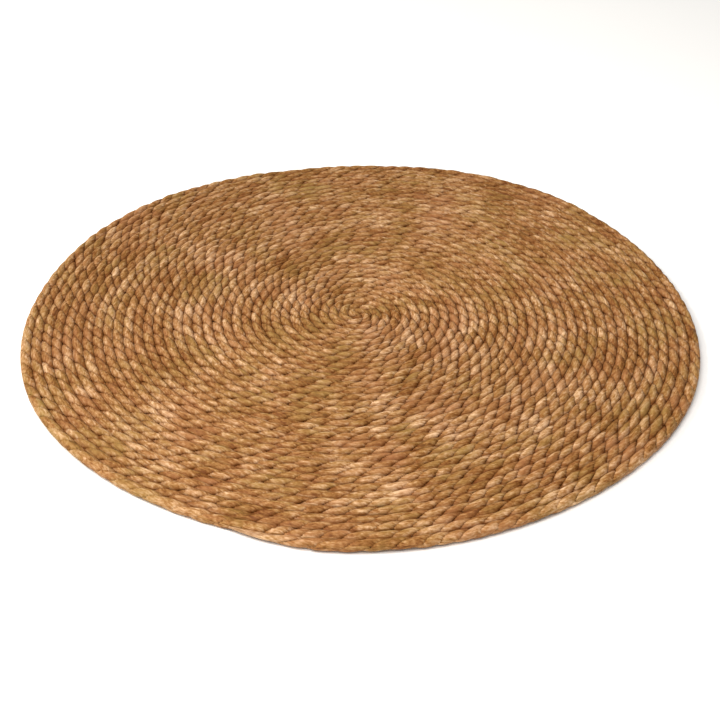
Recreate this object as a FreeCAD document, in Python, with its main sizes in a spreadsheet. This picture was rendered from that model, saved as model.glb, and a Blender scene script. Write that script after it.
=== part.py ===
"""Round seat pad, wound as one flat spiral from a two-ply rush rope.

Millimetres, +Z up, origin in the middle of the underside.  The spiral is a chain of
half-turns about two centres that stand half a pitch apart on the joint line, so each
half-turn is a true arc and its radius is half a pitch more than the one before.
Ply A is drawn as the lower half of the rope and ply B as the upper half.  Each ply is
spliced from leaf bundles, and each bundle is a piece of its own.  The sewing thread
runs in the space between the plies.
"""
import FreeCAD, Part
import math
import os

import Sketcher

SHEET = "Sizes"
UP = FreeCAD.Vector(0, 0, 1)
ALONG_Y = FreeCAD.Vector(0, 1, 0)

# alias, value, meaning: millimetres and degrees
DRIVING_SIZES = (
    ("rope_pitch", 5.8, "from one turn of the rope to the next"),
    ("rope_width", 5.7, "rope across, pressed between its neighbours"),
    ("rope_height", 6.0, "rope from underside to top"),
    ("corner_round", 1.9, "rounding of the rope's long edges"),
    ("core_space", 0.8, "room between the two plies for the thread"),
    ("half_turns", 68, "number of half-turns in the spiral"),
    ("leaf_bundle", 1800, "usual length of one leaf bundle in a ply"),
    ("outer_end_angle", 264, "where the rope's full width ends, from +X"),
    ("tip_sweep", 12, "arc taken by the tapered outer tip"),
    ("tip_width", 1.2, "width left at the very tip"),
    ("thread_size", 0.8, "diameter of the sewing thread"),
    ("knot_size", 2.2, "diameter of a knot pressed flat in the core"),
    ("knot_height", 0.6, "thickness of a pressed knot"),
    ("row_count", 16, "rows of sewing, long and short ones in turn"),
    ("long_row_start", 18, "radius where a long row begins"),
    ("short_row_start", 100, "radius where a short row begins"),
    ("centre_tack_reach", 12, "reach of the centre tack from the middle"),
    ("tip_tack_length", 16, "length of each stitch that holds the tip"),
)


def build_sheet(doc):
    """Write the driving sizes into the document's spreadsheet."""
    sheet = doc.addObject("Spreadsheet::Sheet", SHEET)
    for row, (alias, value, meaning) in enumerate(DRIVING_SIZES, start=1):
        sheet.set(f"A{row}", alias)
        sheet.set(f"B{row}", str(value))
        sheet.set(f"C{row}", meaning)
        sheet.setAlias(f"B{row}", alias)
    doc.recompute()
    return sheet


def size(name):
    """A driving size from the sheet, as a plain number."""
    return float(FreeCAD.ActiveDocument.getObject(SHEET).get(name))


def cell(name):
    """The same size as it is named in an expression."""
    return f"{SHEET}.{name}"


# ---------------------------------------------------------------- the spiral

def side_of(turn):
    """Half-turns lie above (+1) and below (-1) the joint line in turn."""
    return 1 if turn % 2 == 0 else -1


def radius_of(turn):
    return (turn + 1) * size("rope_pitch") / 2


def start_of(turn):
    """Where a half-turn begins on the joint line, as a number and as an expression."""
    quarters = -side_of(turn) * (2 * turn + 1)
    return quarters * size("rope_pitch") / 4, f"{cell('rope_pitch')} * {quarters} / 4"


def half_turns_within(length):
    """The whole number of half-turns whose rope comes nearest to this length."""
    # the first n half-turns hold pi * pitch / 4 * n * (n + 1) of rope
    product = length * 4 / (math.pi * size("rope_pitch"))
    return round(math.sqrt(product + 0.25) - 0.5)


def splices(first_length):
    """Half-turn numbers where one ply passes from bundle to bundle, ends included."""
    last = int(size("half_turns"))
    marks = [0]
    length = first_length
    while half_turns_within(length) < last:
        marks.append(half_turns_within(length))
        length += size("leaf_bundle")
    return marks + [last]


def outermost_reach(angle):
    """Expression for the outermost full turn's centreline at an angle from the joint line."""
    side = 1 if math.sin(math.radians(angle)) > 0 else -1
    turn = int(size("half_turns")) - (2 if side > 0 else 1)
    pitch = cell("rope_pitch")
    return f"{pitch} * {turn + 1} / 2 + {side} * {pitch} / 4 * cos({angle} * 1 deg)"


def place_on_pad(item, extra_turn=0):
    """Turn the joint line to the rope's outer end and centre the pad on the origin."""
    quarter = size("rope_pitch") / 4
    angle = size("outer_end_angle") - 180 + extra_turn
    item.Placement = FreeCAD.Placement(
        FreeCAD.Vector(-quarter, quarter, 0), FreeCAD.Rotation(UP, angle))
    item.setExpression("Placement.Base.x", f"-{cell('rope_pitch')} / 4")
    item.setExpression("Placement.Base.y", f"{cell('rope_pitch')} / 4")


# ------------------------------------------------------------ sketch helpers

def new_sketch(body, name, plane_role):
    """A sketch on one of the body's own origin planes."""
    sketch = body.newObject("Sketcher::SketchObject", name)
    plane = next(item for item in body.Origin.OriginFeatures if item.Role == plane_role)
    sketch.AttachmentSupport = [(plane, "")]
    sketch.MapMode = "FlatFace"
    return sketch


def bind(sketch, kind, *arguments, expression):
    """Add a constraint whose value is driven by the sheet."""
    index = sketch.addConstraint(Sketcher.Constraint(kind, *arguments))
    sketch.setExpression(f"Constraints[{index}]", expression)


def pin(sketch, line, end, across, up):
    """Hold one end of a line at sheet-driven coordinates, given as (value, expression)."""
    bind(sketch, "DistanceX", -1, 1, line, end, across[0], expression=across[1])
    bind(sketch, "DistanceY", -1, 1, line, end, up[0], expression=up[1])


def join(sketch, first, first_end, second, second_end):
    sketch.addConstraint(
        Sketcher.Constraint("Coincident", first, first_end, second, second_end))


def add_line(sketch, first, second):
    """A line between two (across, up) points, each coordinate being (value, expression)."""
    start = FreeCAD.Vector(first[0][0], first[1][0], 0)
    end = FreeCAD.Vector(second[0][0], second[1][0], 0)
    return sketch.addGeometry(Part.LineSegment(start, end), False)


def add_corner(sketch, centre_x, centre_y, start_angle, before, after):
    """A quarter-circle corner that joins the start of one line to the end of another."""
    rounding = size("corner_round")
    circle = Part.Circle(FreeCAD.Vector(centre_x, centre_y, 0), UP, rounding)
    start = math.radians(start_angle)
    corner = sketch.addGeometry(Part.ArcOfCircle(circle, start, start + math.pi / 2), False)
    join(sketch, corner, 1, *before)
    join(sketch, corner, 2, *after)
    bind(sketch, "Radius", corner, rounding, expression=cell("corner_round"))


# -------------------------------------------------------------- ply geometry

def ply_levels(upper):
    """Heights of a ply's outer face, its rounded shoulder and its core face."""
    height = size("rope_height")
    flat = size("core_space")
    rounding = size("corner_round")
    if upper:
        return ((height, cell("rope_height")),
                (height - rounding, f"{cell('rope_height')} - {cell('corner_round')}"),
                ((height + flat) / 2, f"({cell('rope_height')} + {cell('core_space')}) / 2"))
    return ((0, "0"),
            (rounding, cell("corner_round")),
            ((height - flat) / 2, f"({cell('rope_height')} - {cell('core_space')}) / 2"))


def draw_section(sketch, middle, upper):
    """Half of the rope's section: flat outside, two rounded shoulders, flat core face."""
    value, expression = middle
    half = size("rope_width") / 2
    rounding = size("corner_round")
    outer, shoulder, core = ply_levels(upper)

    def across(sign, inset):
        text = f"{expression} + {sign} * ({cell('rope_width')} / 2"
        text += f" - {cell('corner_round')})" if inset else ")"
        return value + sign * (half - (rounding if inset else 0)), text

    face = add_line(sketch, (across(-1, True), outer), (across(1, True), outer))
    right = add_line(sketch, (across(1, False), shoulder), (across(1, False), core))
    left = add_line(sketch, (across(-1, False), core), (across(-1, False), shoulder))
    inner = add_line(sketch, (across(1, False), core), (across(-1, False), core))
    pin(sketch, face, 1, across(-1, True), outer)
    pin(sketch, face, 2, across(1, True), outer)
    pin(sketch, right, 1, across(1, False), shoulder)
    pin(sketch, right, 2, across(1, False), core)
    pin(sketch, left, 1, across(-1, False), core)
    pin(sketch, left, 2, across(-1, False), shoulder)
    join(sketch, inner, 1, right, 2)
    join(sketch, inner, 2, left, 1)
    right_x = across(1, True)[0]
    left_x = across(-1, True)[0]
    if upper:
        add_corner(sketch, right_x, shoulder[0], 0, (right, 1), (face, 2))
        add_corner(sketch, left_x, shoulder[0], 90, (face, 1), (left, 2))
    else:
        add_corner(sketch, right_x, shoulder[0], 270, (face, 2), (right, 1))
        add_corner(sketch, left_x, shoulder[0], 180, (left, 2), (face, 1))


def draw_path(sketch, first, last, with_tip):
    """Arcs of the half-turns from first up to last, and the tip's short arc if asked."""
    for turn in range(first, last + (1 if with_tip else 0)):
        side = side_of(turn)
        centre = side * size("rope_pitch") / 4
        circle = Part.Circle(FreeCAD.Vector(centre, 0, 0), UP, radius_of(turn))
        start, end = (0, math.pi) if side > 0 else (math.pi, 2 * math.pi)
        is_tip = turn == last
        if is_tip:
            start = end - math.radians(size("tip_sweep"))
        arc = sketch.addGeometry(Part.ArcOfCircle(circle, start, end), False)
        sketch.addConstraint(Sketcher.Constraint("PointOnObject", arc, 3, -1))
        ends = (-1, 1, arc, 3) if side > 0 else (arc, 3, -1, 1)
        bind(sketch, "DistanceX", *ends, abs(centre), expression=f"{cell('rope_pitch')} / 4")
        bind(sketch, "Radius", arc, radius_of(turn),
             expression=f"{cell('rope_pitch')} * {turn + 1} / 2")
        sketch.addConstraint(Sketcher.Constraint("PointOnObject", arc, 2, -1))
        if is_tip:
            bind(sketch, "Angle", arc, end - start, expression=f"{cell('tip_sweep')} * 1 deg")
        else:
            sketch.addConstraint(Sketcher.Constraint("PointOnObject", arc, 1, -1))


def cut_tip(body, last):
    """Slant the rope's outer end, from full width down to the tip width."""
    sketch = new_sketch(body, "TipCut", "XY_Plane")
    quarter = size("rope_pitch") / 4
    sweep = math.radians(size("tip_sweep"))
    half = size("rope_width") / 2
    tip_radius = radius_of(last) - half + size("tip_width")
    clear_radius = radius_of(last) + size("rope_width")
    turn_text = f"{cell('rope_pitch')} * {last + 1} / 2"
    tip_text = f"({turn_text} - {cell('rope_width')} / 2 + {cell('tip_width')})"
    clear_text = f"({turn_text} + {cell('rope_width')})"

    def on_arc(radius, text):
        angle = f"({cell('tip_sweep')} * 1 deg)"
        return ((quarter - radius * math.cos(sweep),
                 f"{cell('rope_pitch')} / 4 - {text} * cos{angle}"),
                (radius * math.sin(sweep), f"{text} * sin{angle}"))

    def on_joint_line(radius, text):
        return (quarter - radius, f"{cell('rope_pitch')} / 4 - {text}"), (0, "0")

    corners = (on_joint_line(radius_of(last) + half, f"({turn_text} + {cell('rope_width')} / 2)"),
               on_arc(tip_radius, tip_text),
               on_arc(clear_radius, clear_text),
               on_joint_line(clear_radius, clear_text))
    lines = []
    for index, corner in enumerate(corners):
        line = add_line(sketch, corner, corners[(index + 1) % len(corners)])
        pin(sketch, line, 1, *corner)
        lines.append(line)
    for index, line in enumerate(lines):
        join(sketch, line, 2, lines[(index + 1) % len(lines)], 1)
    pocket = body.newObject("PartDesign::Pocket", "TipSlant")
    pocket.Profile = sketch
    pocket.Reversed = True
    pocket.setExpression("Length", cell("rope_height"))


def round_start(body, upper):
    """Close the rope's inner end with half a disc in the eye of the spiral."""
    sketch = new_sketch(body, "StartSection", "XZ_Plane")
    start_value, start_text = start_of(0)
    sketch.AttachmentOffset = FreeCAD.Placement(
        FreeCAD.Vector(start_value, 0, 0), FreeCAD.Rotation())
    sketch.setExpression("AttachmentOffset.Base.x", start_text)
    half = size("rope_width") / 2
    rounding = size("corner_round")
    outer, shoulder, core = ply_levels(upper)
    axis = (0, "0")
    inset = (half - rounding, f"{cell('rope_width')} / 2 - {cell('corner_round')}")
    edge = (half, f"{cell('rope_width')} / 2")
    face = add_line(sketch, (axis, outer), (inset, outer))
    side = add_line(sketch, (edge, shoulder), (edge, core))
    inner = add_line(sketch, (edge, core), (axis, core))
    spine = add_line(sketch, (axis, core), (axis, outer))
    pin(sketch, face, 1, axis, outer)
    pin(sketch, face, 2, inset, outer)
    pin(sketch, side, 1, edge, shoulder)
    pin(sketch, side, 2, edge, core)
    pin(sketch, inner, 2, axis, core)
    join(sketch, inner, 1, side, 2)
    join(sketch, spine, 1, inner, 2)
    join(sketch, spine, 2, face, 1)
    if upper:
        add_corner(sketch, inset[0], shoulder[0], 0, (side, 1), (face, 2))
    else:
        add_corner(sketch, inset[0], shoulder[0], 270, (face, 2), (side, 1))
    turned = body.newObject("PartDesign::Revolution", "RoundStart")
    turned.Profile = sketch
    turned.ReferenceAxis = (sketch, ["V_Axis"])
    turned.Angle = 180
    turned.Reversed = True


def build_bundle(doc, name, first, last, upper):
    """One leaf bundle of a ply, from half-turn first up to half-turn last."""
    body = doc.addObject("PartDesign::Body", name)
    body.Label = name
    with_tip = last == int(size("half_turns"))
    path = new_sketch(body, "Path", "XY_Plane")
    draw_path(path, first, last, with_tip)
    section = new_sketch(body, "Section", "XZ_Plane")
    draw_section(section, start_of(first), upper)
    doc.recompute()
    rope = body.newObject("PartDesign::AdditivePipe", "Rope")
    rope.Profile = section
    rope.Spine = path
    doc.recompute()
    if first == 0:
        round_start(body, upper)
    if with_tip:
        cut_tip(body, last)
    place_on_pad(body)
    doc.recompute()
    return body


def build_ply(doc, letter, first_length, upper):
    """All the leaf bundles of one ply, numbered from the centre outwards."""
    marks = splices(first_length)
    bundles = []
    for number, (first, last) in enumerate(zip(marks, marks[1:]), start=1):
        bundles.append(build_bundle(doc, f"ply_{letter}_{number:02d}", first, last, upper))
    return bundles


# -------------------------------------------------------------------- thread

def add_thread(doc, name, start, length):
    """A straight thread along +X at mid-height of the rope."""
    thread = doc.addObject("Part::Cylinder", name)
    thread.setExpression("Radius", f"{cell('thread_size')} / 2")
    thread.setExpression("Height", length)
    thread.Placement = FreeCAD.Placement(
        FreeCAD.Vector(0, 0, 0), FreeCAD.Rotation(ALONG_Y, 90))
    thread.setExpression("Placement.Base.x", start)
    thread.setExpression("Placement.Base.z", f"{cell('rope_height')} / 2")
    return thread


def add_knot(doc, name, position):
    """A knot pressed flat between the plies."""
    knot = doc.addObject("Part::Cylinder", name)
    knot.setExpression("Radius", f"{cell('knot_size')} / 2")
    knot.setExpression("Height", cell("knot_height"))
    knot.setExpression("Placement.Base.x", position)
    knot.setExpression("Placement.Base.z", f"({cell('rope_height')} - {cell('knot_height')}) / 2")
    return knot


def knotted_thread(doc, name, start, end, angle):
    """A thread with a knot at each end, laid at an angle from the joint line."""
    row = doc.addObject("Part::MultiFuse", name)
    row.Shapes = [add_thread(doc, f"{name}_shaft", start, f"{end} - ({start})"),
                  add_knot(doc, f"{name}_inner_knot", start),
                  add_knot(doc, f"{name}_outer_knot", end)]
    row.Label = name
    place_on_pad(row, angle)
    return row


def build_rows(doc):
    """Radial rows of sewing: a long one from near the centre, then a short one."""
    count = int(size("row_count"))
    spacing = 360 / count
    rows = []
    for index in range(count):
        angle = (index + 0.5) * spacing
        start = cell("long_row_start" if index % 2 == 0 else "short_row_start")
        end = outermost_reach(angle)
        rows.append(knotted_thread(doc, f"sewing_row_{index + 1:02d}", start, end, angle))
    return rows


def build_centre_tack(doc):
    """The stitch across the eye that keeps the first turns closed."""
    reach = cell("centre_tack_reach")
    return knotted_thread(doc, "centre_tack", f"-{reach}", reach, 90)


def build_tip_tack(doc):
    """Two short stitches that hold the tapered tip to the turns inside it."""
    last = int(size("half_turns"))
    tack = doc.addObject("Part::Compound", "tip_tack")
    stitches = []
    for number in (1, 2):
        stitch = doc.addObject("Part::MultiFuse", f"tip_stitch_{number}")
        end = (f"({cell('rope_pitch')} * {last + 1} / 2"
               f" - {cell('rope_width')} / 2 + {cell('tip_width')} - {cell('rope_pitch')} / 4)")
        start = f"{end} - {cell('tip_tack_length')}"
        stitch.Shapes = [add_thread(doc, f"tip_thread_{number}", start, cell("tip_tack_length")),
                         add_knot(doc, f"tip_knot_{number}", start)]
        stitch.Placement = FreeCAD.Placement(
            FreeCAD.Vector(0, 0, 0),
            FreeCAD.Rotation(UP, 180 - size("tip_sweep") * number / 3))
        stitches.append(stitch)
    tack.Links = stitches
    tack.Label = "tip_tack"
    place_on_pad(tack)
    return tack


# -------------------------------------------------------------------- output

def check_all(doc, pieces):
    """Stop if any object failed to rebuild or any piece is not a sound shape."""
    for item in doc.Objects:
        if "Invalid" in item.State or "Error" in item.State:
            raise RuntimeError(f"{item.Label} did not rebuild: {item.State}")
    for piece in pieces:
        if piece.Shape.isNull() or not piece.Shape.isValid():
            raise RuntimeError(f"{piece.Label} has no valid shape")


def main():
    os.makedirs("parts", exist_ok=True)
    doc = FreeCAD.newDocument("SeatPad")
    build_sheet(doc)
    bundle = size("leaf_bundle")
    pieces = build_ply(doc, "a", bundle, upper=False)
    pieces += build_ply(doc, "b", bundle / 2, upper=True)
    pieces += build_rows(doc)
    pieces.append(build_centre_tack(doc))
    pieces.append(build_tip_tack(doc))
    doc.recompute()
    check_all(doc, pieces)
    for piece in pieces:
        piece.Shape.exportStep(f"parts/{piece.Label}.step")


main()
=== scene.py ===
"""Looks of the round rope seat pad: real twisted plies wound round the CAD's own spiral.

Lengths in the mesh code are millimetres and are turned into metres when a mesh is made.
"""
import math

import bpy
import numpy as np
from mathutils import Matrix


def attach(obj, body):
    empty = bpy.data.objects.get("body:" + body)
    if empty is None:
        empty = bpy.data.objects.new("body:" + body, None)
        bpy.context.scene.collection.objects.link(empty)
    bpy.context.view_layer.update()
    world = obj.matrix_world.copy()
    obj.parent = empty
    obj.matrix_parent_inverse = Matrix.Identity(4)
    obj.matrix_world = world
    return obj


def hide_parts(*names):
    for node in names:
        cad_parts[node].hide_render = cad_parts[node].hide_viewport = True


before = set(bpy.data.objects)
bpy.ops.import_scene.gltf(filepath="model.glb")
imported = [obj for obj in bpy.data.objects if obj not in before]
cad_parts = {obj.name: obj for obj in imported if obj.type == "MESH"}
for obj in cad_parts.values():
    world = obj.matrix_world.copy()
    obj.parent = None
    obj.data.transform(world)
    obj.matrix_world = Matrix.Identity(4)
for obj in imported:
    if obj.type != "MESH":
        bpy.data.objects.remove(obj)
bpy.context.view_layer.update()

METRE = 0.001                   # one millimetre in metres
SEED = 11                       # of everything that is random
FULL_TURN = 2 * math.pi

# ---------------------------------------------------------------- the rope, as in the CAD
PITCH = 5.8                     # from one turn of the rope to the next
HALF_TURNS = 68
LEAF_BUNDLE = 1800.0            # usual length of one leaf bundle in a ply
END_ANGLE = math.radians(264)   # where the rope's full width ends, from +X
JOINT_LINE = END_ANGLE - math.pi                       # line on which the half-turns meet
SPIRAL_CENTRE = np.array([-PITCH / 4, PITCH / 4])      # middle of that line
TIP_LENGTH = 42.0               # tapered outer tip
MID_HEIGHT = 3.0                # height of the rope's middle above the floor
RIM_RADIUS = 198.4              # middle of the outermost turns' outer edge

# ---------------------------------------------------------------- the rope, as it is made
# rope for one turn of its plies: share of the rim's radius, length
LAYS = ((0, 14.0), (0.15, 16.5), (0.4, 20.0), (0.8, 22.0), (1, 24.0))
ROPE_RADIUS = 2.95              # rope, laid and pressed
PLY_CENTRE = 1.25               # from the rope's centre to the point a ply's leaves are wound round
PLY_OVERLAP = 0.12              # each ply pressed past the rope's middle
PLY_CORNER = 30.0               # how sharp a half-round ply's two edges are
PLY_LEAST = 0.01                # keeps a division from 0 on the round side of a ply
GROOVE = 0.20                   # share of the radius lost where the two plies meet
GROOVE_SHAPE = 2.0              # larger keeps the groove narrower
RING_STEP = 1.1                 # from one ring of the mesh to the next
EYE_END = 0.9                   # reach of the round inner end past the start, in rope radii

TUCK = 9.0                      # length of a bundle's end that is tucked under the next bundle
TUCK_SIZE = 0.62                # size of that end's tip
TUCK_CURVE = 0.7                # below 1, most of the thinning is close to the tip

TIP_THINNING = 0.78             # share of the rope's size lost along the outer tip
TIP_CURVE = 1.15                # above 1, most of the thinning is towards the end
TIP_SLACK = 0.6                 # share of the twist lost along the tip
TIP_INWARD = 3.1                # how far the thin end leans in against the turn inside it
TIP_LIFT = 0.3

# ---------------------------------------------------------------- the leaf strips of a ply
LEAVES = 5                      # strips side by side round one ply
POINTS_PER_LEAF = 5
LEAF_TWIST = 1.6                # turns of the leaves in their ply for each turn of the plies
CREASE = 0.04                   # depth of the crease between two strips, as a share of the radius
TIP_TONE = 1.2                  # how much lighter the dry tip is
GRAIN_RADIUS = 2.0              # radius at which the material's pattern is read round a ply
GRAIN_SHIFT = 40                # moves ply B to another part of the pattern

# ---------------------------------------------------------------- turns pressed together
FULLEST = PITCH / 2 * 1.02      # half-width past which neighbouring turns squeeze a lobe
SQUEEZED = 0.3                  # share of its excess that is left
CONTACT = PITCH / 2 * 1.01      # half-width that a lobe's flank is filled out to
FLANK = 2.1                     # height of the flats where turns press on each other, from the middle
FLANK_START = 1.3               # distance from the rope's middle where a flat begins
FLANK_FADE = 0.9
WEB = 1.4                       # height up to which even the deepest pits are pressed shut
WEB_START = 0.7                 # distance from the rope's middle where that begins
WEB_FADE = 0.5
FLOOR_DEPTH = 2.85              # depth below the rope's middle where the floor flattens it
FLOOR_GIVE = 0.1                # share of the excess that is left there

# shade painted into the rush colour in the valleys between turns and in the pits between lobes
VALLEY_TOP = 2.5                # height above the rope's middle where the shade between turns begins
VALLEY_FADE = 1.3               # and over what height it deepens
VALLEY_SHADE = 0.38             # its strength beside a lobe
PIT_SHADE = 0.45                # and how much is added in the pits between lobes
RIM_FADE = 30                   # rope over which the outermost turn loses the shade on its outside

# ---------------------------------------------------------------- unevenness of handwork
# tracks that wander along the rope: size, length of rope between new values, number of the seed
LAY_WANDER = ((0.14, 47, 1), (0.16, 15, 2))
TWIST_WANDER = ((0.30, 11, 3),)
SWELL_WANDER = ((0.05, 31, 4), (0.08, 8, 5))
SIDE_WANDER = ((0.22, 27, 8), (0.18, 9, 9))
HEIGHT_WANDER = ((0.20, 18, 10),)
PROUD_WANDER = ((0.04, 12, 20),)
CREASE_WANDER = ((0.035, 10, 21),)
SKIN_WANDER = ((0.018, 3.2, 27),)
LOBE_TONE = ((0.2, 11, 28), (0.35, 26, 29))
LEAF_TONE = ((0.30, 420, 22), (0.25, 50, 23), (0.30, 9, 24))
LEAF_TINT = ((0.22, 300, 25), (0.22, 30, 26))
CALM_RADIUS = 20                # inside this radius the rope drifts sideways less
CALM_LEAST = 0.2

# waves of the pad's outline: lobes round the rim, size, direction in degrees
OUTLINE_WAVES = (
    (1, 0.0037, -89), (2, 0.0045, 65), (3, 0.0016, 122), (4, 0.0051, -156), (5, 0.0063, -75))
OUTLINE_TRIM = -0.0014
# slow rises of the pad off the floor: lobes round the rim, height, direction in degrees
RISE_WAVES = ((2, 0.3, 205), (3, 0.3, 60), (5, 0.2, 140))


# ---------------------------------------------------------------- the spiral
def radius_of(turn):
    """Radius of a half-turn's middle about its own centre."""
    return (turn + 1) * PITCH / 2


def length_before(turn):
    """Rope in the half-turns before this one."""
    return math.pi * PITCH / 4 * turn * (turn + 1)


def turn_at(length):
    """Number of half-turns wound at a length of rope, with its fraction."""
    return np.sqrt(np.maximum(length, 0) * 4 / (math.pi * PITCH) + 0.25) - 0.5


ROPE_FULL = length_before(HALF_TURNS)
ROPE_END = ROPE_FULL + TIP_LENGTH


def place_at(centre, angle, radius):
    """A place at an angle and radius from a centre."""
    return centre + radius * np.array([math.cos(angle), math.sin(angle)])


def spiral(length):
    """Centreline points (x, y), outward directions and radii at lengths along the rope."""
    turn = np.floor(turn_at(length)).astype(int)
    radius = radius_of(turn)
    travelled = (length - length_before(turn)) / radius
    side = np.where(turn % 2 == 0, 1, -1)
    angle = np.where(side > 0, math.pi, 0.0) - travelled + JOINT_LINE
    outward = np.stack([np.cos(angle), np.sin(angle)], -1)
    half_step = place_at(np.zeros(2), JOINT_LINE, PITCH / 4)
    centres = SPIRAL_CENTRE + side[:, None] * half_step
    return centres + radius[:, None] * outward, outward, radius


def settle(points):
    """Moves points from the true spiral to the hand-made pad: uneven outline, slow rises."""
    x, y, z = points[..., 0], points[..., 1], points[..., 2]
    out = np.hypot(x, y) / RIM_RADIUS
    angle = np.arctan2(y, x)
    grow = OUTLINE_TRIM
    for lobes, size, direction in OUTLINE_WAVES:
        grow = grow + size * np.cos(lobes * angle - math.radians(direction))
    scale = 1 + grow * out ** 2
    lift = 0
    for lobes, height, direction in RISE_WAVES:
        lift = lift + height * (1 + np.cos(lobes * (angle - math.radians(direction))))
    return np.stack([x * scale, y * scale, z + lift * out ** 3], -1)


# ---------------------------------------------------------------- small tools
def rng(*seed):
    """A seeded random generator for one named use."""
    return np.random.default_rng([SEED, *seed])


def track(length, spacing, *seed):
    """A smooth curve through random values from -1 to 1, one at each spacing along the rope."""
    count = int(math.ceil(ROPE_END / spacing)) + 4
    values = rng(*seed).uniform(-1, 1, count)
    place = np.asarray(length) / spacing + 1
    low = np.clip(np.floor(place).astype(int), 1, count - 3)
    part = np.clip(place - low, 0, 1)
    p0, p1, p2, p3 = (values[low + shift] for shift in (-1, 0, 1, 2))
    return 0.5 * (2 * p1 + (p2 - p0) * part + (2 * p0 - 5 * p1 + 4 * p2 - p3) * part ** 2
                  + (3 * p1 - p0 - 3 * p2 + p3) * part ** 3)


def wander(length, tracks, *who):
    """The sum of some tracks. The numbers of the ply and the leaf give each its own."""
    return sum(size * track(length, spacing, seed, *who) for size, spacing, seed in tracks)


def rise(value, width):
    """0 below 0, 1 above the width and straight between."""
    return np.clip(value / width, 0, 1)


def pressed(value, limit, share):
    """Values past a limit on either side keep only a share of their excess."""
    excess = np.maximum(np.abs(value) - limit, 0)
    return value - np.sign(value) * excess * (1 - share)


# ---------------------------------------------------------------- mesh making
def tube_faces(count, columns, first_vert):
    """Vertex numbers and sizes of the faces of one capped tube. Its two cap centres come last."""
    ring = first_vert + np.arange(count - 1)[:, None] * columns
    here = np.arange(columns)[None, :]
    after = (here + 1) % columns
    quads = np.stack([ring + here, ring + after, ring + columns + after, ring + columns + here], -1)
    last_ring = first_vert + (count - 1) * columns
    start_centre = np.full(columns, first_vert + count * columns)
    start_cap = np.stack([start_centre, first_vert + after[0], first_vert + here[0]], -1)
    end_cap = np.stack([start_centre + 1, last_ring + here[0], last_ring + after[0]], -1)
    corners = np.concatenate([quads.ravel(), start_cap.ravel(), end_cap.ravel()])
    sizes = np.concatenate([np.full((count - 1) * columns, 4), np.full(2 * columns, 3)])
    return corners, sizes


def with_cap_centres(values):
    """Values of a tube's rings as a plain list, with the means of its two end rings."""
    return np.concatenate([values.reshape(-1, values.shape[-1]), values[[0, -1]].mean(axis=1)])


def make_mesh(name, tubes):
    """One piece from capped tubes. Each is rings[ring, point, xyz] and its attributes."""
    verts, corners, sizes = [], [], []
    fields = {kind: [] for kind in tubes[0][1]}
    for rings, attributes in tubes:
        count, columns = rings.shape[:2]
        tube_corners, tube_sizes = tube_faces(count, columns, sum(len(part) for part in verts))
        corners.append(tube_corners)
        sizes.append(tube_sizes)
        verts.append(with_cap_centres(rings))
        for kind, values in attributes.items():
            fields[kind].append(with_cap_centres(values))
    verts, corners, sizes = (np.concatenate(parts) for parts in (verts, corners, sizes))
    mesh = bpy.data.meshes.new(name)
    mesh.vertices.add(len(verts))
    mesh.vertices.foreach_set("co", (verts * METRE).astype(np.float32).ravel())
    mesh.loops.add(len(corners))
    mesh.loops.foreach_set("vertex_index", corners.astype(np.int32))
    mesh.polygons.add(len(sizes))
    mesh.polygons.foreach_set("loop_start", (np.cumsum(sizes) - sizes).astype(np.int32))
    mesh.update(calc_edges=True)
    mesh.shade_smooth()
    for kind, parts in fields.items():
        values = np.concatenate(parts)
        form, key = ("FLOAT_VECTOR", "vector") if values.shape[1] == 3 else ("FLOAT", "value")
        field = mesh.attributes.new(kind, form, "POINT")
        field.data.foreach_set(key, values.astype(np.float32).ravel())
    piece = bpy.data.objects.new(name, mesh)
    bpy.context.scene.collection.objects.link(piece)
    return piece


# ---------------------------------------------------------------- plies
FINE = np.arange(0, ROPE_END + 1, 1.0)      # every millimetre of the rope


def twist_track():
    """Angle of ply A round the rope at each millimetre. The rope is laid left-handed."""
    _, _, radius = spiral(FINE)
    lay = np.interp(radius / RIM_RADIUS, *zip(*LAYS))
    lay = lay * (1 + wander(FINE, LAY_WANDER))
    in_tip = rise(FINE - ROPE_FULL, TIP_LENGTH)
    rate = (1 - TIP_SLACK * in_tip) / lay
    return -FULL_TURN * np.cumsum(rate)


TWIST = twist_track()


def ply_skin(angle, radius, centre):
    """Distance from a ply's own centre to its skin: half a round rope with rounded edges."""
    cos_a, sin_a = np.cos(angle), np.sin(angle)
    to_round = np.sqrt(radius ** 2 - (centre * sin_a) ** 2) - centre * cos_a
    side = np.abs(to_round * sin_a) / radius
    to_round = to_round * (1 - GROOVE * side ** GROOVE_SHAPE)
    to_flat = (centre + PLY_OVERLAP) / np.maximum(-cos_a, PLY_LEAST)
    return (to_round ** -PLY_CORNER + to_flat ** -PLY_CORNER) ** (-1 / PLY_CORNER)


def bundle_size(length, start, end):
    """How full a bundle is along its length: its ends are thinner and tucked in."""
    size = np.ones_like(length)
    if start > 0:
        size = size * (TUCK_SIZE + (1 - TUCK_SIZE) * rise(length - start, TUCK) ** TUCK_CURVE)
    if end < ROPE_END:
        size = size * (TUCK_SIZE + (1 - TUCK_SIZE) * rise(end - length, TUCK) ** TUCK_CURVE)
    return size


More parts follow.
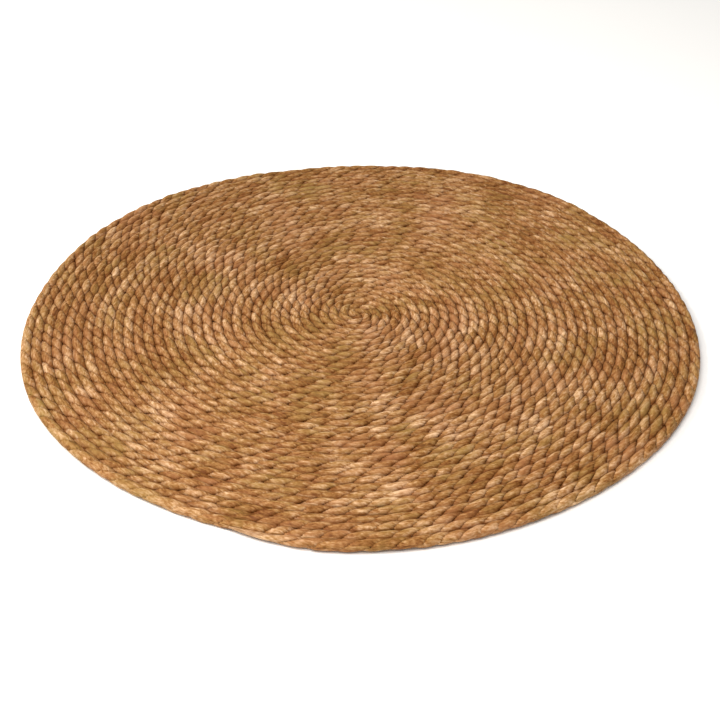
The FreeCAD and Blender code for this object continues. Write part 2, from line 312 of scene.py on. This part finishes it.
def leaf_strips(length, ply, in_tip):
    """Relief, tone, tint and creases of the strips that stand side by side round a ply."""
    columns = LEAVES * POINTS_PER_LEAF
    relief, tone, tint, crease = (np.zeros((len(length), columns)) for _ in range(4))
    lobe_tone = wander(length, LOBE_TONE, ply) + TIP_TONE * in_tip
    for column in range(columns):
        leaf = column // POINTS_PER_LEAF
        proud = wander(length, PROUD_WANDER, ply, leaf)
        if column % POINTS_PER_LEAF == 0:
            before = (leaf - 1) % LEAVES
            proud = 0.5 * (proud + wander(length, PROUD_WANDER, ply, before))
            proud = proud - CREASE - wander(length, CREASE_WANDER, ply, leaf)
            # marks the crease, where the material paints shade into the colour
            crease[:, column] = 1
        relief[:, column] = 1 + proud + wander(length, SKIN_WANDER, ply, column)
        tone[:, column] = lobe_tone + wander(length, LEAF_TONE, ply, leaf)
        tint[:, column] = wander(length, LEAF_TINT, ply, leaf)
    return relief, tone, tint, crease


def press(lateral, height, in_tip):
    """Neighbouring turns press the rope's sides, and the floor presses its underside."""
    lateral = pressed(lateral, FULLEST, SQUEEZED)
    flat = np.clip(1 - (height / FLANK) ** 2, 0, 1) ** 0.5
    flat = flat * rise(np.abs(lateral) - FLANK_START, FLANK_FADE)
    web = rise(WEB - np.abs(height), WEB_FADE) * rise(np.abs(lateral) - WEB_START, WEB_FADE)
    short = np.maximum(CONTACT - np.abs(lateral), 0) * (in_tip == 0)
    lateral = lateral + np.sign(lateral) * short * np.maximum(flat, web)
    too_low = height < -FLOOR_DEPTH
    height = np.where(too_low, -FLOOR_DEPTH + FLOOR_GIVE * (height + FLOOR_DEPTH), height)
    return lateral, height


def shade_between(length, lateral, height, groove):
    """Brown shade painted into the colour in the valleys between turns, deepest in the pits between
    lobes.
    """
    valley = rise(VALLEY_TOP - np.abs(height), VALLEY_FADE)
    at_rim = rise(length - ROPE_FULL + FULL_TURN * RIM_RADIUS, RIM_FADE)
    valley = valley * (1 - at_rim * (lateral > 0))
    return valley * (VALLEY_SHADE + PIT_SHADE * groove)


def ply_rings(start, end, letter):
    """Rings of one ply between two lengths of rope, with the leaf attributes of each point."""
    ply = 0 if letter == "a" else 1
    start = start - TUCK / 2 if start > 0 else -EYE_END * ROPE_RADIUS
    end = min(ROPE_END, end + TUCK / 2)
    count = int(round((end - start) / RING_STEP)) + 1
    length = np.linspace(start, end, count)
    points, outward, radius = spiral(length)
    twist = np.interp(length, FINE, TWIST) + math.pi * ply + wander(length, TWIST_WANDER, ply)

    # size of the rope and of this bundle in it
    in_tip = rise(length - ROPE_FULL, TIP_LENGTH)
    size = 1 - TIP_THINNING * in_tip ** TIP_CURVE
    size = size * np.sqrt(1 - (np.minimum(length, 0) / ROPE_RADIUS) ** 2)
    fill = size * bundle_size(length, start, end)
    across = ROPE_RADIUS * fill * (1 + wander(length, SWELL_WANDER, ply))
    centre = PLY_CENTRE * fill

    # drift of the rope's middle
    side_drift = wander(length, SIDE_WANDER) * np.clip(radius / CALM_RADIUS, CALM_LEAST, 1)
    side_drift = side_drift - (1 - size) * TIP_INWARD * (in_tip > 0)
    height_drift = wander(length, HEIGHT_WANDER) + (1 - size) * TIP_LIFT * (in_tip > 0)

    # one row for each ring from here on, and one column for each point round the ply
    relief, tone, tint, crease = leaf_strips(length, ply, in_tip)
    length, twist, in_tip, across, centre = (
        values[:, None] for values in (length, twist, in_tip, across, centre))
    columns = LEAVES * POINTS_PER_LEAF
    leaf_angle = np.arange(columns)[None, :] / columns * FULL_TURN
    turn = leaf_angle - LEAF_TWIST * twist
    reach = ply_skin(turn, across, centre) * relief
    out_from_rope = centre + reach * np.cos(turn)
    sideways = reach * np.sin(turn)
    lateral = out_from_rope * np.cos(twist) - sideways * np.sin(twist) + side_drift[:, None]
    height = out_from_rope * np.sin(twist) + sideways * np.cos(twist) + height_drift[:, None]

    # painted shade: darker the deeper a point lies in the groove between plies and the lower it lies
    # between turns
    groove = rise(1 - np.hypot(out_from_rope, sideways) / across, GROOVE) * (1 - in_tip)
    shade = shade_between(length, lateral, height, groove)
    lateral, height = press(lateral, height, in_tip)
    flat = points[:, None, :] + lateral[..., None] * outward[:, None, :]
    rings = settle(np.concatenate([flat, (MID_HEIGHT + height)[..., None]], -1))

    grain = np.stack([GRAIN_RADIUS * np.cos(leaf_angle) + GRAIN_SHIFT * ply + 0 * length,
                      GRAIN_RADIUS * np.sin(leaf_angle) + 0 * length,
                      length + 0 * leaf_angle], -1)
    attributes = {
        "grain": grain,
        "tone": tone[..., None],
        "tint": tint[..., None],
        "crease": crease[..., None],
        "shade": shade[..., None],
    }
    return rings, attributes


def splices(first_length):
    """Half-turns where one ply passes from bundle to bundle, as in the CAD."""
    marks = [0]
    length = first_length
    while True:
        turn = round(float(turn_at(length)))
        if turn >= HALF_TURNS:
            return marks + [HALF_TURNS]
        marks.append(turn)
        length += LEAF_BUNDLE


def build_ply(letter, first_length, material):
    """The leaf bundles of one ply, each in place of its CAD node."""
    marks = splices(first_length)
    for number, (first, last) in enumerate(zip(marks, marks[1:]), start=1):
        start = length_before(first)
        end = ROPE_END if last == HALF_TURNS else length_before(last)
        name = f"ply_{letter}_{number:02d}"
        piece = make_mesh(f"leaf_{name}", [ply_rings(start, end, letter)])
        piece.data.materials.append(material)
        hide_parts(name)
        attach(piece, "root")


# ---------------------------------------------------------------- sewing thread
THREAD = 0.8                    # diameter, as in the CAD
THREAD_LAY = 2.4                # thread for one full turn of its two strands
THREAD_WAIST = 0.72             # share of the radius left between the strands
THREAD_STEP = 0.4
THREAD_POINTS = 8
ROWS = 16
ROW_STARTS = (18.0, 100.0)      # radii where the long and the short rows begin
EYE_REACH = 12.0                # half the length of the tack across the eye
TIP_STITCH = 16.0               # length of each stitch through the tip
TIP_SWEEP = math.radians(12)    # arc taken by the tip in the CAD
TIP_CORE = 1.7                  # from the full rope's middle in to the thin tip's
TIP_SKIN = radius_of(HALF_TURNS) - PITCH / 4 - TIP_CORE     # where those stitches end
KNOT_REACH = 0.62               # how far the knot's loops stand out beside the thread
KNOT_RISE = 0.3                 # and above and below it
KNOT_LENGTH = 1.0
KNOT_LOOPS = 2
KNOT_POINTS = 36


def thread_tube(route):
    """A two-strand thread along a route of points in the pad's own frame."""
    ahead = np.gradient(route, axis=0)
    ahead /= np.linalg.norm(ahead, axis=1, keepdims=True)
    level = np.cross(ahead, (0.0, 0.0, 1.0))
    level /= np.maximum(np.linalg.norm(level, axis=1, keepdims=True), 1e-6)
    upward = np.cross(level, ahead)
    steps = np.linalg.norm(np.diff(route, axis=0), axis=1)
    along = np.concatenate([[0], np.cumsum(steps)])[:, None]
    angle = np.arange(THREAD_POINTS)[None, :] / THREAD_POINTS * FULL_TURN
    turn = angle - FULL_TURN * along / THREAD_LAY
    radius = THREAD / 2 * (THREAD_WAIST + (1 - THREAD_WAIST) * np.abs(np.cos(turn)))
    rings = (route[:, None, :] + (radius * np.cos(angle))[..., None] * level[:, None, :]
             + (radius * np.sin(angle))[..., None] * upward[:, None, :])
    grain = np.stack([radius * np.cos(turn), radius * np.sin(turn), along + 0 * turn], -1)
    return settle(rings), {"grain": grain}


def straight(first, last):
    """Points of a straight stitch between two places at the height of the rope's core."""
    count = int(np.linalg.norm(last - first) / THREAD_STEP) + 2
    flat = first + np.linspace(0, 1, count)[:, None] * (last - first)
    return np.concatenate([flat, np.full((count, 1), MID_HEIGHT)], 1)


def knot(place, heading):
    """An overhand knot pressed flat: two small loops round the thread."""
    part = np.linspace(0, KNOT_LOOPS * FULL_TURN, KNOT_POINTS)[:, None]
    along = (part / (KNOT_LOOPS * FULL_TURN) - 0.5) * KNOT_LENGTH
    ahead = np.array([math.cos(heading), math.sin(heading)])
    across = np.array([-ahead[1], ahead[0]])
    flat = place + along * ahead + KNOT_REACH * np.cos(part) * across
    return np.concatenate([flat, MID_HEIGHT + KNOT_RISE * np.sin(part)], 1)


def build_thread(node, routes, material):
    """One thread piece made of its stitches and knots, in place of a CAD node."""
    piece = make_mesh(f"thread_{node}", [thread_tube(route) for route in routes])
    piece.data.materials.append(material)
    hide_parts(node)
    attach(piece, "root")


def outermost(angle):
    """Radius of the outermost turn's middle about SPIRAL_CENTRE, at an angle from the joint line."""
    turn, side = (HALF_TURNS - 1, -1) if math.sin(angle) < 0 else (HALF_TURNS - 2, 1)
    offset = side * PITCH / 4
    return offset * math.cos(angle) + math.sqrt(radius_of(turn) ** 2 - (offset * math.sin(angle)) ** 2)


def build_threads(material):
    """The radial rows, the tack across the eye and the two stitches that hold the tip."""
    for index in range(ROWS):
        angle = (index + 0.5) * FULL_TURN / ROWS
        heading = JOINT_LINE + angle
        inner = place_at(SPIRAL_CENTRE, heading, ROW_STARTS[index % 2])
        outer = place_at(SPIRAL_CENTRE, heading, outermost(angle))
        routes = [straight(inner, outer), knot(inner, heading), knot(outer, heading)]
        build_thread(f"sewing_row_{index + 1:02d}", routes, material)

    heading = JOINT_LINE + math.pi / 2
    first, last = (place_at(SPIRAL_CENTRE, heading, reach) for reach in (-EYE_REACH, EYE_REACH))
    routes = [straight(first, last), knot(first, heading), knot(last, heading)]
    build_thread("centre_tack", routes, material)

    routes = []
    for number in (1, 2):
        heading = END_ANGLE - TIP_SWEEP * number / 3
        outer = place_at(SPIRAL_CENTRE, heading, TIP_SKIN)
        inner = place_at(SPIRAL_CENTRE, heading, TIP_SKIN - TIP_STITCH)
        routes += [straight(inner, outer), knot(inner, heading)]
    build_thread("tip_tack", routes, material)


# ---------------------------------------------------------------- materials
# 8-bit sRGB colours, from dark to light
RUSH_COLOURS = ((88, 45, 7), (124, 79, 33), (152, 109, 62), (181, 142, 102), (214, 177, 138))
RUSH_REDDISH = (153, 102, 65)
RUSH_OLIVE = (141, 113, 58)
RUSH_PAINTED_SHADE = (97, 49, 9)       # painted shade: in creases, in the valleys between turns and in the pits between lobes
THREAD_COLOURS = ((150, 116, 76), (226, 196, 150))
FLOOR_COLOURS = ((251, 251, 250), (254, 254, 253))


def nodes_of(name):
    """A new node material, its tree and its shader."""
    material = bpy.data.materials.new(name)
    material.use_nodes = True
    tree = material.node_tree
    return material, tree, tree.nodes["Principled BSDF"]


def add(tree, kind, **values):
    """A node with its named properties and input sockets set."""
    node = tree.nodes.new(kind)
    for key, value in values.items():
        if key in node.inputs:
            node.inputs[key].default_value = value
        else:
            setattr(node, key, value)
    return node


def read(tree, name, output="Fac"):
    """One of the mesh's own attributes."""
    return add(tree, "ShaderNodeAttribute", attribute_name=name).outputs[output]


def math_node(tree, operation, first, second):
    """Two values worked together, each a plain number or an output."""
    node = add(tree, "ShaderNodeMath", operation=operation)
    for socket, value in zip(node.inputs, (first, second)):
        if isinstance(value, (int, float)):
            socket.default_value = value
        else:
            tree.links.new(value, socket)
    return node.outputs[0]


def weighted(tree, base, parts):
    """A base value plus each part times its amount."""
    total = base
    for part, amount in parts:
        total = math_node(tree, "ADD", total, math_node(tree, "MULTIPLY", part, amount))
    return total


def above_zero(tree, value, amount):
    """The part of a value above 0, times an amount."""
    return math_node(tree, "MULTIPLY", math_node(tree, "MAXIMUM", value, 0.0), amount)


def along_leaf(tree, grain, share):
    """A place on a leaf with its length shortened to a share, which draws a pattern out."""
    node = add(tree, "ShaderNodeVectorMath", operation="MULTIPLY")
    tree.links.new(grain, node.inputs[0])
    node.inputs[1].default_value = (1.0, 1.0, share)
    return node.outputs[0]


def noise(tree, vector, scale, detail, roughness):
    """Noise from 0 to 1 at a place."""
    node = add(tree, "ShaderNodeTexNoise", Scale=scale, Detail=detail, Roughness=roughness)
    tree.links.new(vector, node.inputs["Vector"])
    return node.outputs["Fac"]


def centred(tree, value):
    """A noise value moved to lie on both sides of 0."""
    return math_node(tree, "SUBTRACT", value, 0.5)


def srgb(colour):
    """An 8-bit sRGB colour as linear RGBA."""
    def linear(value):
        value /= 255
        return value / 12.92 if value <= 0.04045 else ((value + 0.055) / 1.055) ** 2.4
    return (*map(linear, colour), 1.0)


def ramp(tree, factor, colours):
    """8-bit sRGB colours spaced evenly from 0 to 1."""
    node = add(tree, "ShaderNodeValToRGB")
    stops = node.color_ramp.elements
    for index in range(1, len(colours) - 1):
        stops.new(index / (len(colours) - 1))
    for stop, colour in zip(stops, colours):
        stop.color = srgb(colour)
    tree.links.new(factor, node.inputs["Fac"])
    return node.outputs["Color"]


def mix_colour(tree, factor, first, second):
    """The first colour, an output, turned towards the second."""
    node = add(tree, "ShaderNodeMix", data_type="RGBA")
    tree.links.new(factor, node.inputs["Factor"])
    tree.links.new(first, node.inputs[6])
    node.inputs[7].default_value = second
    return node.outputs[2]


def add_bump(tree, shader, height, strength, distance):
    """Small relief that is only in the light on the surface."""
    bump = add(tree, "ShaderNodeBump", Strength=strength, Distance=distance)
    tree.links.new(height, bump.inputs["Height"])
    tree.links.new(bump.outputs["Normal"], shader.inputs["Normal"])


def rush_material():
    """Dry rush leaf: long fine fibres, leaf-by-leaf tone and colour, and brown shade painted into the
    creases and between turns.
    """
    material, tree, shader = nodes_of("rush_leaf")
    grain = read(tree, "grain", "Vector")
    place = add(tree, "ShaderNodeTexCoord").outputs["Object"]
    streaks = noise(tree, along_leaf(tree, grain, 0.09), scale=2.2, detail=4.0, roughness=0.6)
    fibres = noise(tree, along_leaf(tree, grain, 0.03), scale=9.0, detail=3.0, roughness=0.6)
    mottle = noise(tree, along_leaf(tree, grain, 0.45), scale=0.9, detail=3.0, roughness=0.6)
    weathering = noise(tree, place, scale=24.0, detail=3.0, roughness=0.6)
    cast = noise(tree, place, scale=28.0, detail=4.0, roughness=0.65)

    # from dark to light
    level = weighted(tree, 0.5, (
        (read(tree, "tone"), 0.32),
        (centred(tree, streaks), 0.90),
        (centred(tree, fibres), 0.4),
        (centred(tree, mottle), 1.5),
        (centred(tree, weathering), 0.85)))
    leaf = ramp(tree, level, RUSH_COLOURS)

    # reddish leaves on one side of 0, olive leaves on the other
    tint = weighted(tree, read(tree, "tint"), ((centred(tree, cast), 3.8),))
    reddish = above_zero(tree, tint, 0.75)
    olive = above_zero(tree, math_node(tree, "MULTIPLY", tint, -1.0), 0.7)
    leaf = mix_colour(tree, reddish, leaf, srgb(RUSH_REDDISH))
    leaf = mix_colour(tree, olive, leaf, srgb(RUSH_OLIVE))

    # painted shade: brown where the light doesn't reach, between turns and in the creases between strips
    painted_shade = weighted(tree, read(tree, "shade"), ((read(tree, "crease"), 0.15),))
    painted_shade = math_node(tree, "MINIMUM", painted_shade, 1.0)
    leaf = mix_colour(tree, painted_shade, leaf, srgb(RUSH_PAINTED_SHADE))
    tree.links.new(leaf, shader.inputs["Base Color"])

    roughness = weighted(tree, 0.50, ((streaks, 0.25),))
    tree.links.new(roughness, shader.inputs["Roughness"])
    shader.inputs["Specular IOR Level"].default_value = 0.14
    height = weighted(tree, 0.0, ((streaks, 0.6), (fibres, 0.4)))
    add_bump(tree, shader, height, strength=0.6, distance=0.0004)
    return material


def thread_material():
    """Twisted cotton thread: warm straw, matt, a little fuzzy."""
    material, tree, shader = nodes_of("sewing_thread")
    fuzz = noise(tree, read(tree, "grain", "Vector"), scale=3.0, detail=4.0, roughness=0.6)
    colour = ramp(tree, fuzz, THREAD_COLOURS)
    tree.links.new(colour, shader.inputs["Base Color"])
    shader.inputs["Roughness"].default_value = 0.85
    shader.inputs["Sheen Weight"].default_value = 0.2
    add_bump(tree, shader, fuzz, strength=0.4, distance=0.0001)
    return material


def floor_material():
    """Plain pale studio floor, barely uneven in tone."""
    material, tree, shader = nodes_of("studio_floor")
    place = add(tree, "ShaderNodeTexCoord").outputs["Object"]
    cloud = noise(tree, place, scale=6.0, detail=2.0, roughness=0.5)
    colour = ramp(tree, cloud, FLOOR_COLOURS)
    tree.links.new(colour, shader.inputs["Base Color"])
    shader.inputs["Roughness"].default_value = 0.9
    return material


# ---------------------------------------------------------------- pieces
rush = rush_material()
build_ply("a", LEAF_BUNDLE, rush)
build_ply("b", LEAF_BUNDLE / 2, rush)
build_threads(thread_material())

# ---------------------------------------------------------------- studio
FLOOR_HALF = 4.0                # metres, as is everything in the studio
VIEW_RADIUS = 0.1984            # the pad's radius
VIEW_TILT = math.radians(35.08)
VIEW_ROLL = math.radians(0.24)
VIEW_DISTANCE = 3.74 * VIEW_RADIUS
VIEW_AIM = (0.001 * VIEW_RADIUS, -0.222 * VIEW_RADIUS, MID_HEIGHT * METRE)


def from_above(aim, azimuth, elevation, distance):
    """A place at a distance from an aim. Azimuth is from +X, towards +Y."""
    level = distance * math.cos(elevation)
    return (aim[0] + level * math.cos(azimuth),
            aim[1] + level * math.sin(azimuth),
            aim[2] + distance * math.sin(elevation))


def add_light(name, azimuth, elevation, distance, size, power, colour):
    """A soft square lamp that looks at the pad, at angles in degrees."""
    lamp = bpy.data.lights.new(name, "AREA")
    lamp.size = size
    lamp.energy = power
    lamp.color = colour
    item = bpy.data.objects.new(name, lamp)
    azimuth, elevation = math.radians(azimuth), math.radians(elevation)
    item.location = from_above((0, 0, 0), azimuth, elevation, distance)
    item.rotation_euler = (math.pi / 2 - elevation, 0, azimuth + math.pi / 2)
    bpy.context.scene.collection.objects.link(item)


def add_world():
    """Even, almost white light from all round."""
    world = bpy.data.worlds.new("studio")
    world.use_nodes = True
    background = world.node_tree.nodes["Background"]
    background.inputs["Color"].default_value = (1.0, 0.99, 0.975, 1)
    background.inputs["Strength"].default_value = 0.50
    bpy.context.scene.world = world


def add_camera():
    """The camera in front of the pad, looking down at it."""
    data = bpy.data.cameras.new("camera")
    data.lens = 65.0
    data.sensor_width = 36.0
    camera = bpy.data.objects.new("camera", data)
    camera.location = from_above(VIEW_AIM, -math.pi / 2, VIEW_TILT, VIEW_DISTANCE)
    camera.rotation_mode = "XYZ"
    camera.rotation_euler = (math.pi / 2 - VIEW_TILT, 0, 0)
    camera.rotation_euler.rotate_axis("Z", VIEW_ROLL)
    bpy.context.scene.collection.objects.link(camera)
    bpy.context.scene.camera = camera


floor_mesh = bpy.data.meshes.new("studio_floor")
floor_corners = [(FLOOR_HALF * x, FLOOR_HALF * y, 0) for x, y in ((-1, -1), (1, -1), (1, 1), (-1, 1))]
floor_mesh.from_pydata(floor_corners, [], [(0, 1, 2, 3)])
floor = bpy.data.objects.new("studio_floor", floor_mesh)
floor.data.materials.append(floor_material())
bpy.context.scene.collection.objects.link(floor)

add_world()
add_light("key", azimuth=176, elevation=38, distance=1.8, size=0.8, power=30, colour=(1.0, 0.96, 0.90))
add_light("fill", azimuth=260, elevation=54, distance=0.7, size=0.4, power=4.1, colour=(1.0, 0.97, 0.94))
add_camera()
bpy.context.scene.view_settings.view_transform = "Standard"
